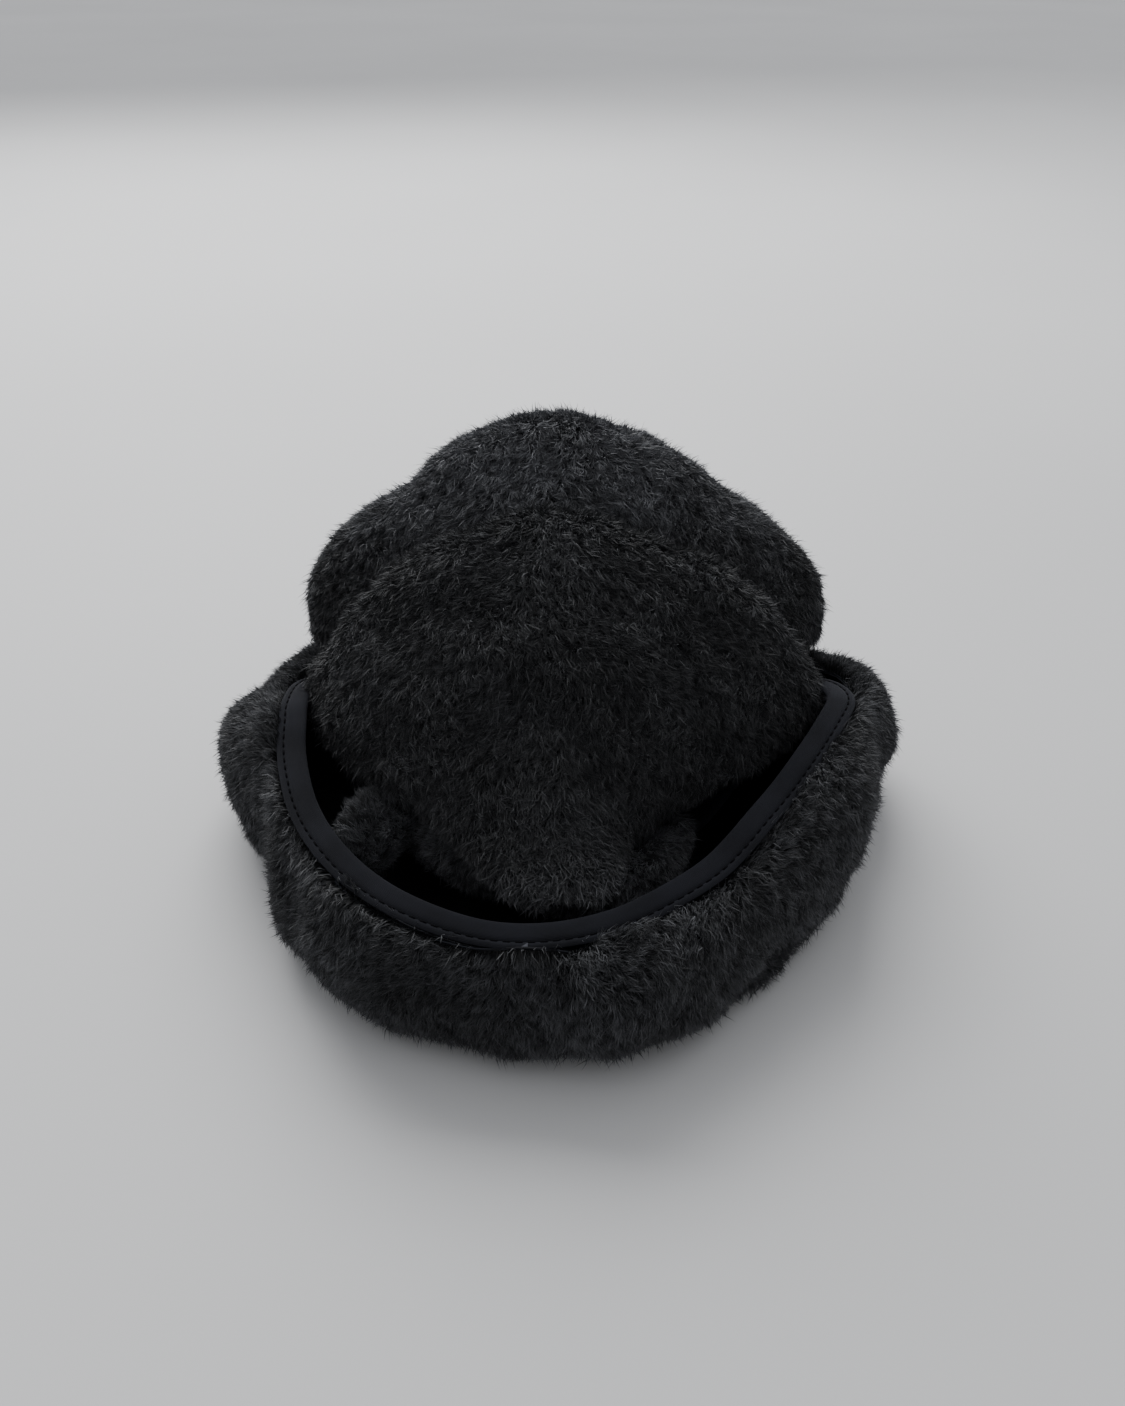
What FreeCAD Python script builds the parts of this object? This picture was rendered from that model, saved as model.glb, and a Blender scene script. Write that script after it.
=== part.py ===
import FreeCAD, Part
import math
import os

# A high-pile fleece balaclava, standing on its neck hem with the crown slumped
# forward over the face opening.  Millimetres, +Z up, -Y is the wearer's front.
# The origin is the centre of the outline on the ground.

Vector = FreeCAD.Vector

# ---- driving dimensions -------------------------------------------------
FLEECE = 7.0            # thickness of the fleece, knit backing and pile together
LINING = 1.2            # thickness of the jersey lining
GAP = 0.3               # air between layers that lie on each other
NECK_GAP = 1.4          # the same round the neck, where the layers bend more
ALLOWANCE = 2.0         # height of a folded seam allowance inside
THREAD = 0.35           # radius of the sewing thread
STITCH = 2.4            # length of one stitch
PITCH = 3.6             # distance from one stitch to the next

# Crown sections from nape to beak:
# y, left edge x, right edge x, apex x, apex z, rim z, roundness exponent
CROWN = [
    (105, -42, 44, 0, 60, 52, 2.0),
    (99, -64, 66, -1, 91, 52, 2.0),
    (85, -86, 88, -3, 123, 52, 1.9),
    (70, -96, 98, -5, 138, 52, 1.75),
    (54, -98, 101, -6, 142, 52, 1.70),
    (38, -89, 93, -6, 131, 53, 1.50),
    (24, -85, 89, -6, 122, 53, 1.45),
    (4, -91, 95, -7, 130, 54, 1.50),
    (-12, -88, 89, -6, 122, 53, 1.60),
    (-28, -80, 75, -4, 111, 51, 1.60),
    (-44, -63, 54, -2, 96, 50, 1.60),
    (-60, -45, 33, -3, 80, 48, 1.60),
    (-74, -32, 23, -1, 67, 46, 1.65),
    (-87, -21, 19, 1, 56, 44, 1.80),
    (-95, -11, 14, 3, 50, 43, 2.00),
]
CROWN_ROWS = 37         # rows from nape to beak
CROWN_COLUMNS = 7       # columns from the rim to the apex of one panel

# Neck ring, seen from above about its own centre, clockwise from the nape:
# angle (0 is the chin, 90 the wearer's left ear), edge radius, edge z, outer radius
NECK_CENTRE_Y = 14.0
NECK = [
    (-180, 93, 44, 108),
    (-150, 94, 44, 112),
    (-120, 98, 44, 119),
    (-95, 103, 49, 128),
    (-76, 101, 64, 127),
    (-60, 108, 60, 119),
    (-42, 118, 55, 127),
    (-21, 126, 51, 135),
    (0, 125, 49, 136),
    (21, 115, 53, 131),
    (39, 105, 58, 123),
    (57, 102, 63, 118),
    (76, 105, 66, 119),
    (95, 107, 50, 127),
    (120, 100, 44, 119),
    (150, 94, 44, 112),
]
NECK_COLUMNS = 37       # columns along a chin or nape panel
NECK_ROWS = 9           # rows from the edge to the hem
SEAM_RIGHT = 4          # station of the seam behind the wearer's right ear
SEAM_LEFT = 12
NAPE = 16
WIDEST = 0.42           # height of the widest line, as a share of the edge height
HEM_RISE = 2.6          # underside of the fleece above the ground
HEM_TUCK = 8.0          # how far the fleece turns in above the ground

HEM_INSET = 7.0         # the hem turns in under the neck and lies on the ground
HEM_HEIGHT = 2.2
OPENING_CENTRE_Y = 45.0 # opening left by the turned-in hem
OPENING_HALF_WIDTH = 68.0
OPENING_HALF_DEPTH = 48.0
OPENING_SQUARENESS = 5.0
OPENING_POINTS = 48
HEM_SEAM = 4.0          # stitches from the free edge of the hem

BINDING_HALF_WIDTH = 4.0
BINDING_HALF_HEIGHT = 2.4
BINDING_DROP = 2.6      # centre of the binding below the fleece edge
BINDING_MARGIN = 0.15   # stations between the binding's ends and the side seams
STITCH_CLEAR = 0.3      # air under a stitch row
SEAM_CLEAR = 1.0        # the same under the crown's seam, which bends more

# Fleece facing that has rolled under the brow: x, y, z, radius
BROW_ROLL = [
    (-66, -24, 39, 6),
    (-50, -38, 35, 10),
    (-28, -57, 33, 12),
    (3, -68, 32, 12),
    (25, -60, 32, 11),
    (38, -45, 35, 8),
    (47, -32, 37, 4),
]
# Binding of the brow edge, hidden behind the roll: x, y, z
BROW_BINDING = [
    (-70, 2, 44),
    (-54, -12, 41),
    (-30, -30, 38),
    (2, -41, 36),
    (30, -30, 38),
    (52, -12, 41),
    (68, 2, 44),
]

SECTION_POINTS = 12     # points round the section of a binding or roll

LABEL_WIDTH = 22.0
LABEL_HEIGHT = 14.0
LABEL_THICKNESS = 0.5
LABEL_Z = 18.0
LABEL_TURN = 50         # the label hangs clear of the lining at this turn of the section


# ---- general shapes -----------------------------------------------------
def between(table, position):
    """Row of a table at a fractional index, on a smooth curve through its rows."""
    index = min(int(position), len(table) - 2)
    t = position - index
    before = table[max(index - 1, 0)]
    here = table[index]
    after = table[index + 1]
    later = table[min(index + 2, len(table) - 1)]
    row = []
    for p0, p1, p2, p3 in zip(before, here, after, later):
        bend = (2 * p0 - 5 * p1 + 4 * p2 - p3) * t**2 + (3 * p1 - p0 - 3 * p2 + p3) * t**3
        row.append(p1 + 0.5 * ((p2 - p0) * t + bend))
    return row


def spline_surface(grid):
    surface = Part.BSplineSurface()
    surface.interpolate(grid)
    return surface


def border_edges(surface):
    u_low, u_high, v_low, v_high = surface.bounds()
    curves = [surface.uIso(u_low), surface.uIso(u_high), surface.vIso(v_low), surface.vIso(v_high)]
    return [curve.toShape() for curve in curves]


def thick_patch(point, rows, columns, inset, thickness):
    """Solid between two copies of a surface; point(row, column, inset) gives the surface."""
    skins = []
    for depth in (inset, inset + thickness):
        skins.append(spline_surface([[point(row, column, depth) for column in columns] for row in rows]))
    faces = [skin.toShape() for skin in skins]
    for outer_edge, inner_edge in zip(border_edges(skins[0]), border_edges(skins[1])):
        faces.append(Part.makeRuledSurface(outer_edge, inner_edge))
    return solid_from(faces)


def solid_from(faces):
    shell = Part.makeShell(faces)
    shell.sewShape()
    solid = Part.makeSolid(shell)
    if solid.Volume < 0:
        solid.reverse()
    return solid


def spaced(first, last, count):
    return [first + (last - first) * i / (count - 1) for i in range(count)]


def smooth_curve(points):
    curve = Part.BSplineCurve()
    curve.interpolate(points)
    return curve


def ellipse_wire(centre, wide, tall):
    curve = Part.BSplineCurve()
    angles = [2 * math.pi * i / SECTION_POINTS for i in range(SECTION_POINTS)]
    points = [centre + wide * math.cos(angle) + tall * math.sin(angle) for angle in angles]
    curve.interpolate(Points=points, PeriodicFlag=True)
    return Part.Wire(curve.toShape())


def loft_along(points, half_widths, half_heights):
    """Tube of elliptic sections, wide in plan, along a smooth path."""
    curve = smooth_curve(points)
    wires = []
    for point, half_width, half_height in zip(points, half_widths, half_heights):
        tangent = curve.tangent(curve.parameter(point))[0]
        wide = tangent.cross(Vector(0, 0, 1)).normalize()
        tall = wide.cross(tangent).normalize()
        wires.append(ellipse_wire(point, wide * half_width, tall * half_height))
    return Part.makeLoft(wires, True, False)


def stitches_along(curve, margin):
    """Short round threads laid end to end along a curve, in one compound."""
    length = curve.length()
    count = int((length - 2 * margin) / PITCH)
    threads = []
    for i in range(count):
        start = curve.value(curve.parameterAtDistance(margin + i * PITCH))
        end = curve.value(curve.parameterAtDistance(margin + i * PITCH + STITCH))
        threads.append(Part.makeCylinder(THREAD, (end - start).Length, start, end - start))
    return Part.makeCompound(threads)


# ---- crown --------------------------------------------------------------
def crown_point(position, angle, inset):
    """Point on the crown; angle 0 is the right rim, 90 the apex, 180 the left rim."""
    y, left, right, apex, top, rim, exponent = between(CROWN, position)
    side = right if angle < 90 else left
    reach = abs(side - apex) - inset
    across = abs(math.cos(math.radians(angle))) ** (2 / exponent)
    rise = math.sin(math.radians(angle)) ** (2 / exponent)
    front, back = CROWN[-1][0], CROWN[0][0]
    middle = (front + back) / 2
    shrink = 1 - 2 * inset / (back - front)
    x = apex + math.copysign(reach * across, side - apex)
    z = rim + (top - rim - inset) * rise
    return Vector(x, middle + (y - middle) * shrink, z)


def crown_shell(first_angle, last_angle, inset, thickness, end_margin=0.0):
    rows = spaced(end_margin, len(CROWN) - 1 - end_margin, CROWN_ROWS)
    angles = spaced(first_angle, last_angle, CROWN_COLUMNS)
    return thick_patch(crown_point, rows, angles, inset, thickness)


def build_crown():
    inside = FLEECE + GAP
    seam_rows = spaced(1.6, len(CROWN) - 2.5, CROWN_ROWS)
    thread_inset = inside + ALLOWANCE + THREAD + SEAM_CLEAR
    seam = smooth_curve([crown_point(position, 90, thread_inset) for position in seam_rows])
    return {
        "crown_panel_left": crown_shell(180, 90.3, 0, FLEECE),
        "crown_panel_right": crown_shell(89.7, 0, 0, FLEECE),
        "crown_lining_left": crown_shell(178, 99, inside, LINING, 0.6),
        "crown_lining_right": crown_shell(81, 2, inside, LINING, 0.6),
        "crown_seam_allowance": crown_shell(94, 86, inside, ALLOWANCE, 0.8),
        "crown_seam_thread": stitches_along(seam, PITCH),
    }


# ---- neck ---------------------------------------------------------------
def neck_station(position):
    """Angle, edge radius, edge height and outer radius of the ring at a fractional station."""
    second_round = [(station[0] + 360,) + station[1:] for station in NECK]
    return between(NECK + second_round, position)


def on_ring(angle, radius, z):
    bearing = math.radians(angle)
    return Vector(radius * math.sin(bearing), NECK_CENTRE_Y - radius * math.cos(bearing), z)


def neck_section(position, turn):
    """Radius and height of the outer skin; turn 0 is the edge, 90 the widest line, 180 the hem."""
    _, edge_radius, edge_z, outer_radius = neck_station(position)
    widest_z = WIDEST * edge_z
    across = math.sin(math.radians(turn))
    down = math.cos(math.radians(turn))
    if turn <= 90:
        return edge_radius + (outer_radius - edge_radius) * across, widest_z + (edge_z - widest_z) * down
    return outer_radius - HEM_TUCK * (1 - across), widest_z + (widest_z - HEM_RISE) * down


def neck_point(position, turn, inset):
    step = 1.0
    r, z = neck_section(position, turn)
    r_before, z_before = neck_section(position, max(turn - step, 0))
    r_after, z_after = neck_section(position, min(turn + step, 180))
    length = math.hypot(r_after - r_before, z_after - z_before)
    r += inset * (z_after - z_before) / length
    z -= inset * (r_after - r_before) / length
    return on_ring(neck_station(position)[0], r, z)


def neck_shell(first, last, first_turn, last_turn, inset, thickness):
    positions = spaced(first, last, NECK_COLUMNS)
    turns = spaced(first_turn, last_turn, NECK_ROWS)
    return thick_patch(neck_point, positions, turns, inset, thickness)


def outline_curve(reduction):
    """Closed curve on the ground, inside the ring's outline by a reduction."""
    points = [on_ring(angle, outer_radius - reduction, 0) for angle, _, _, outer_radius in NECK]
    curve = Part.BSplineCurve()
    curve.interpolate(Points=points, PeriodicFlag=True)
    return curve


def build_neck():
    inside = FLEECE + NECK_GAP
    gap = 0.012             # stations between a fleece edge and its side seam
    clear = 0.16            # stations kept free of lining beside a side seam
    half = 0.1              # half width of a seam allowance, in stations
    lining_turns = (20, 140)
    nodes = {
        "neck_panel_front": neck_shell(SEAM_RIGHT + gap, SEAM_LEFT - gap, 0, 180, 0, FLEECE),
        "neck_panel_back": neck_shell(SEAM_LEFT + gap, SEAM_RIGHT + NAPE - gap, 0, 180, 0, FLEECE),
        "neck_lining_front": neck_shell(SEAM_RIGHT + clear, SEAM_LEFT - clear, *lining_turns, inside, LINING),
        "neck_lining_back": neck_shell(
            SEAM_LEFT + clear, SEAM_RIGHT + NAPE - clear, *lining_turns, inside, LINING
        ),
    }
    threads = []
    for side, seam in (("right", SEAM_RIGHT), ("left", SEAM_LEFT)):
        nodes["side_seam_allowance_" + side] = neck_shell(seam - half, seam + half, 25, 135, inside, ALLOWANCE)
        thread_inset = inside + ALLOWANCE + THREAD + GAP
        row = smooth_curve([neck_point(seam, turn, thread_inset) for turn in spaced(25, 135, NECK_ROWS)])
        threads.append(stitches_along(row, PITCH))
    nodes["side_seam_thread"] = Part.makeCompound(threads)
    return nodes


def binding_centre(position):
    angle, edge_radius, edge_z, _ = neck_station(position)
    return on_ring(angle, edge_radius - BINDING_HALF_WIDTH - NECK_GAP, edge_z - BINDING_DROP)


def binding_with_stitches(points, where):
    """Flat band along a path, with a row of stitches on its upper side."""
    count = len(points)
    lift = Vector(0, 0, BINDING_HALF_HEIGHT + THREAD + STITCH_CLEAR)
    row = smooth_curve([point + lift for point in points])
    band = loft_along(points, [BINDING_HALF_WIDTH] * count, [BINDING_HALF_HEIGHT] * count)
    return {"face_binding_" + where: band, "binding_stitch_" + where: stitches_along(row, PITCH)}


def build_chin_binding():
    positions = spaced(SEAM_RIGHT + BINDING_MARGIN, SEAM_LEFT - BINDING_MARGIN, 13)
    return binding_with_stitches([binding_centre(position) for position in positions], "lower")


def build_brow():
    roll_points = [Vector(x, y, z) for x, y, z, radius in BROW_ROLL]
    roll_radii = [radius for x, y, z, radius in BROW_ROLL]
    nodes = {"brow_facing": loft_along(roll_points, roll_radii, roll_radii)}
    nodes.update(binding_with_stitches([Vector(*point) for point in BROW_BINDING], "upper"))
    return nodes


def opening_curve(margin):
    """Closed curve on the ground round the opening of the turned-in hem."""
    points = []
    for i in range(OPENING_POINTS):
        angle = 2 * math.pi * i / OPENING_POINTS
        cosine, sine = math.cos(angle), math.sin(angle)
        across = math.copysign(abs(cosine) ** (2 / OPENING_SQUARENESS), cosine)
        along = math.copysign(abs(sine) ** (2 / OPENING_SQUARENESS), sine)
        x = (OPENING_HALF_WIDTH + margin) * across
        points.append(Vector(x, OPENING_CENTRE_Y + (OPENING_HALF_DEPTH + margin) * along, 0))
    curve = Part.BSplineCurve()
    curve.interpolate(Points=points, PeriodicFlag=True)
    return curve


def build_hem():
    outer = Part.Wire(outline_curve(HEM_INSET).toShape())
    inner = Part.Wire(opening_curve(0).toShape())
    ring = Part.makeFace([outer, inner], "Part::FaceMakerBullseye")
    row = opening_curve(HEM_SEAM)
    row.translate(Vector(0, 0, HEM_HEIGHT + THREAD + GAP))
    return {"hem_facing": ring.extrude(Vector(0, 0, HEM_HEIGHT)), "hem_stitch": stitches_along(row, 0)}


def build_label():
    """Blank fabric label hanging on the inner face of the nape lining."""
    nape = neck_point(NAPE, LABEL_TURN, FLEECE + NECK_GAP + LINING)
    corner = Vector(-LABEL_WIDTH / 2, nape.y - LABEL_THICKNESS - ALLOWANCE, LABEL_Z)
    label = Part.makeBox(LABEL_WIDTH, LABEL_THICKNESS, LABEL_HEIGHT, corner)
    y = corner.y - THREAD
    z = LABEL_Z + LABEL_HEIGHT - STITCH
    row = Part.LineSegment(Vector(-LABEL_WIDTH / 2, y, z), Vector(LABEL_WIDTH / 2, y, z))
    return {"care_label": label, "care_label_stitch": stitches_along(row, THREAD)}


def build_nodes():
    nodes = {}
    for group in (build_crown, build_brow, build_neck, build_chin_binding, build_hem, build_label):
        nodes.update(group())
    return nodes


def main():
    os.makedirs("parts", exist_ok=True)
    for name, shape in build_nodes().items():
        box = shape.BoundBox
        limits = (box.XMin, box.XMax, box.YMin, box.YMax, box.ZMin, box.ZMax)
        print(name, shape.isValid(), len(shape.Solids), round(shape.Volume), [round(v, 1) for v in limits])
        shape.exportStep("parts/" + name + ".step")


main()
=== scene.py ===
import math

import bpy
import numpy as np
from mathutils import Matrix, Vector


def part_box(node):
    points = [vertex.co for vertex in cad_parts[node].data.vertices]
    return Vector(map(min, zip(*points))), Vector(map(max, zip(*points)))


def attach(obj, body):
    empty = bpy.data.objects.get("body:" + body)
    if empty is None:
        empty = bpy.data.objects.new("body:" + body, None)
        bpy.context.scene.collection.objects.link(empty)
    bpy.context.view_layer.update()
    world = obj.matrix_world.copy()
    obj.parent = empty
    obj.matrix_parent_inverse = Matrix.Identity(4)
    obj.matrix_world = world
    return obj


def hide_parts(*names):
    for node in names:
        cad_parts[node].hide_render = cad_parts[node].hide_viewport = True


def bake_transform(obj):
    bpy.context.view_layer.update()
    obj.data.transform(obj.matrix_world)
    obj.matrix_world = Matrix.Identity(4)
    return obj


# A high-pile fleece balaclava slumped over its face opening.  The knit backing, lining,
# binding, stitches and label are meshes; the pile is real tapered strands in tufts.

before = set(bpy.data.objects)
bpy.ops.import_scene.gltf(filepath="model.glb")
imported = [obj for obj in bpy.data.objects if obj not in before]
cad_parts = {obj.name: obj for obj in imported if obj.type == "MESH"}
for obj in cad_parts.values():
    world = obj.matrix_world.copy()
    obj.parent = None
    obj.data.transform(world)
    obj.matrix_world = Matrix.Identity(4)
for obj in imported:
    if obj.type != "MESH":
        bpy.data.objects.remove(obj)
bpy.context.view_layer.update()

MM = 0.001
WORLD_FRONT, WORLD_BACK = 0.30, 1.45     # light of the studio from the front and from behind
FLOOR_SIZE = 60.0                        # metres, as are the other sizes and places of the set
SOFTBOX_SIZE, SOFTBOX_WATTS = (1.6, 1.2), 46
SOFTBOX_PLACE, SOFTBOX_TURN = (-0.35, 1.25, 1.25), (-45, -14, 0)
CAMERA_PLACE, CAMERA_TURN, CAMERA_LENS = (0.0, -0.335, 0.288), (55.1, 0, 0), 28.86

# ---- shape, the same stations as the CAD panels (millimetres) ------------
# y, left edge x, right edge x, apex x, apex z, rim z, roundness exponent
CROWN = np.array([
    (105, -42, 44, 0, 60, 52, 2.0),
    (99, -64, 66, -1, 91, 52, 2.0),
    (85, -86, 88, -3, 123, 52, 1.9),
    (70, -96, 98, -5, 138, 52, 1.75),
    (54, -98, 101, -6, 142, 52, 1.70),
    (38, -89, 93, -6, 131, 53, 1.50),
    (24, -85, 89, -6, 122, 53, 1.45),
    (4, -91, 95, -7, 130, 54, 1.50),
    (-12, -88, 89, -6, 122, 53, 1.60),
    (-28, -80, 75, -4, 111, 51, 1.60),
    (-44, -63, 54, -2, 96, 50, 1.60),
    (-60, -45, 33, -3, 80, 48, 1.60),
    (-74, -32, 23, -1, 67, 46, 1.65),
    (-87, -21, 19, 1, 56, 44, 1.80),
    (-95, -11, 14, 3, 50, 43, 2.00),
])
# the crown's centre seam, the crease across it, the ridge before the crease and the full back
SEAM_DIP, SEAM_ANGLE = 0.5, 2.0
CREASE_Y, CREASE_BOW, CREASE_WIDTH = 24, 7, 8.0
CREASE_MIDDLE, CREASE_SIDE = 2.2, 9.7
RIDGE_Y, RIDGE_WIDTH = 1, 9.0
RIDGE_MIDDLE, RIDGE_SIDE = 1.0, 3.4
BACK_Y, BACK_LENGTH = 62, 27.0
SHOULDER, SHOULDER_Z, SHOULDER_HEIGHT = 8.0, 70, 20.0
ROOF_DIP, ROOF_Z, ROOF_HEIGHT = 4.5, 117, 15.0
# angle round the ring from the middle of the front, edge radius, edge z, outer radius
NECK_CENTRE_Y = 14.0
NECK = np.array([
    (-180, 93, 44, 108),
    (-150, 94, 44, 112),
    (-120, 98, 44, 119),
    (-95, 103, 49, 128),
    (-76, 101, 64, 127),
    (-60, 108, 60, 119),
    (-42, 118, 55, 127),
    (-21, 126, 51, 135),
    (0, 125, 49, 136),
    (21, 115, 53, 131),
    (39, 105, 58, 123),
    (57, 102, 63, 118),
    (76, 105, 66, 119),
    (95, 107, 50, 127),
    (120, 100, 44, 119),
    (150, 94, 44, 112),
])
NECK_ROUND = np.vstack([NECK, NECK + [360, 0, 0, 0]])
SEAM_RIGHT, SEAM_LEFT, NAPE = 4, 12, 16   # rows of the side seams and of the nape, coming round
PANEL_GAP = 0.002
WIDEST = 0.42             # share of the edge's height where the neck is widest
HEM_RISE = 2.6
HEM_TUCK = 8.0            # how far the neck draws in from there to the ground
HEM_INSET = 7.0
OPENING_CENTRE_Y = 45.0   # opening left by the turned-in hem
OPENING_HALF_WIDTH = 68.0
OPENING_HALF_DEPTH = 48.0
OPENING_SQUARENESS = 5.0
HEM_SEAM = 4.0            # from the edge of the opening out to its stitches
HEM_LIES, HEM_STITCH_Z = 1.1, 2.6
HEM_OVERLAP = 3.5         # how far the turned-in cloth lies inside the fleece at its fold
HEM_CLIMB = 9.0           # how high it goes up there
# fold at the nape: rows of the crown's rim that it follows, and how far it lies inside the neck's
# edge and the crown's rim, hollows between them, starts below the edge and how high it ends
NAPE_RIM_ROWS = 5.2
NAPE_INSIDE = (3.5, 6.5)
NAPE_HOLLOW, NAPE_BELOW, NAPE_TOP = 2.0, 5.0, 57.0
# fleece that has rolled under the brow: x, y, z, radius
BROW_ROLL = np.array([
    (-66, -24, 39, 6),
    (-50, -38, 35, 10),
    (-28, -57, 33, 12),
    (3, -68, 32, 12),
    (22, -66, 31, 12),
    (32, -56, 32, 10),
    (40, -43, 34, 5),
])
# fleece folded in beside the right cheek, under the binding
CHEEK_FOLD = np.array([
    (-46, -36, 44, 6),
    (-56, -43, 43, 10),
    (-64, -54, 39, 12),
    (-70, -65, 35, 10),
    (-73, -73, 32, 4),
])
# bound edge of the brow, hanging behind the roll: x, y, z
BROW_BINDING = np.array([
    (-70, 2, 44),
    (-54, -12, 41),
    (-30, -30, 38),
    (2, -41, 36),
    (30, -30, 38),
    (52, -12, 41),
    (68, 2, 44),
])
# ends of the chin binding, going in under the sides of the crown: x, y, z
BINDING_END_RIGHT = [(-84, 19, 50), (-89, 11, 56), (-93, 2, 60)]
BINDING_END_LEFT = [(96, -2, 62), (91, 8, 58), (85, 16, 52)]
# loose lining hanging from the brow, a dark sheet that stands for the shade inside the face opening: x, y,
# top z
CURTAIN = np.array([
    (-83, 8, 48),
    (-64, -8, 43),
    (-34, -24, 39),
    (2, -33, 37),
    (34, -24, 39),
    (62, -8, 43),
    (83, 8, 48),
])
CURTAIN_FOOT, CURTAIN_RISE = 4.0, 30.0    # height of its foot, and how much it rises at the ends

# ---- fabric ---------------------------------------------------------------
PILE_HEIGHT = 5.5        # from the knit backing to the tips, as the pile lies
PILE_LENGTH = 6.0        # length of one strand
FOLDED_PILE_LENGTH = 0.9 * PILE_LENGTH   # where the fleece is rolled or folded
LIFT, NECK_LIFT = 0.74, 0.8   # share of a strand that stands up from the cloth
STRAND_WIDTH = 0.34
TUFT = 1.5               # distance from one tuft to the next
DENSITY = 7.8            # strands per square millimetre
STRANDS_PER_PIECE = 65000
FLYAWAY_SHARE = 0.035    # strands that stand out of the pile
FLYAWAY_LENGTH = 1.3
LOOSE_SHARE = 0.35       # strands that hardly follow their tuft
TIP_CLEAR = 0.15         # lowest height of a tip above the ground
STRAND_PAINTED_SHADE = np.array([0, 0, 0.31, 0.31, 0.62])     # painted shade and light along a strand: dark root deep in the pile, light tip
BAKE_STEP = 0.002        # size of a strand in the bake map
BAKE_CORNERS = np.array([[-1, -1], [1, -1], [-1, 0], [1, 0], [0, 1]]) * BAKE_STEP
# painted light: how much lighter the pile is painted on the top of the back crown, on the skirts and under
# the brow
PAINTED_LIGHT_TOP, PAINTED_LIGHT_SKIRT, PAINTED_LIGHT_INSIDE = 1.75, 0.5, 1.0
BACKING = 1.2            # thickness of the knit backing
LINING_DEPTH = 8.3       # of the lining's outer face, below the tips
LINING = 0.8             # thickness of the lining
STITCH = 2.4             # length of one stitch
PITCH = 3.6              # from the start of one stitch to the next
THREAD = 0.35            # half the thickness of the thread
THREAD_SIDES = 8
STITCH_RINGS = np.array([0.0, 0.12, 0.88, 1.0])   # shares of a stitch where its rings lie
STITCH_TAPER = np.array([0.45, 1.0, 1.0, 0.45])   # and how thick the thread is there
STITCH_DIP = 0.25        # how far the ends of a stitch go down into the cloth
# section of the folded binding with its stitched flange: outwards, up
BINDING_SECTION = np.array([
    (-4.3, 0.0), (-4.1, 0.9), (-3.4, 1.45), (-1.9, 1.65), (0.2, 1.5), (1.7, 1.2), (2.5, 0.8), (2.9, 0.5),
    (3.4, 0.7), (4.2, 0.75), (5.0, 0.4), (5.2, 0.0), (3.2, -0.5), (0.5, -1.2), (-2.2, -1.4), (-3.8, -0.9),
])
STITCH_OUTWARDS, STITCH_UP = 3.0, 0.58   # place of the stitches on that section
BINDING_INSIDE, BINDING_BELOW = 4.6, 1.7  # its middle, from the edge of the neck
BROW_SCALE = 0.9         # the brow side of the binding is a little narrower
SEAM_TOP, SEAM_BOTTOM = 7.4, 9.2         # depths of the crown's folded seam below the tips
SIDE_SEAM = 1.6          # thickness of the folded seams behind the ears


# ---- small tools ------------------------------------------------------------
def between(table, position):
    """Rows of a table at fractional indices, on smooth curves through its rows."""
    position = np.asarray(position, float)
    index = np.clip(position.astype(int), 0, len(table) - 2)
    t = (position - index)[..., None]
    last = len(table) - 1
    p0, p1 = table[np.maximum(index - 1, 0)], table[index]
    p2, p3 = table[index + 1], table[np.minimum(index + 2, last)]
    bend = (2 * p0 - 5 * p1 + 4 * p2 - p3) * t**2 + (3 * p1 - p0 - 3 * p2 + p3) * t**3
    return p1 + 0.5 * ((p2 - p0) * t + bend)


def smooth_step(value):
    value = np.clip(value, 0, 1)
    return value * value * (3 - 2 * value)


def bump(value, centre, width):
    """1 at the centre, falling smoothly to nothing on both sides."""
    return np.exp(-(((value - centre) / width) ** 2))


def unit(vectors):
    return vectors / np.maximum(np.linalg.norm(vectors, axis=-1, keepdims=True), 1e-12)


def waves(points, wavelength, seed):
    """Smooth noise of about -1 to 1 at points, from a few plane waves."""
    rng = np.random.default_rng(seed)
    total = np.zeros(points.shape[:-1])
    for _ in range(7):
        direction = unit(rng.normal(size=3)) * 2 * math.pi / (wavelength * rng.uniform(0.7, 1.5))
        total += np.sin(points @ direction + rng.uniform(0, 2 * math.pi))
    return total / 2.6


def normals_of(grid):
    return unit(np.cross(np.gradient(grid, axis=0), np.gradient(grid, axis=1)))


def grid_of(point, rows, columns, *depth):
    row, column = np.meshgrid(rows, columns, indexing="ij")
    return point(row, column, *depth)


# ---- surfaces ---------------------------------------------------------------
def crown_point(position, angle, inset):
    """Crown skin; angle -90 is the left rim, 0 the apex and 90 the right rim."""
    y, left, right, apex, top, rim, exponent = np.moveaxis(between(CROWN, position), -1, 0)
    side = np.where(angle > 0, right, left)
    reach = np.abs(side - apex) - inset
    across = np.abs(np.sin(np.radians(angle))) ** (2 / exponent)
    rise = np.abs(np.cos(np.radians(angle))) ** (2 / exponent)
    front, back = CROWN[-1, 0], CROWN[0, 0]
    middle = (front + back) / 2
    shrink = 1 - 2 * inset / (back - front)
    x = apex + np.sign(side - apex) * reach * across
    z = rim + (top - rim - inset) * rise
    return np.stack([x, middle + (y - middle) * shrink, z], axis=-1)


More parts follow.
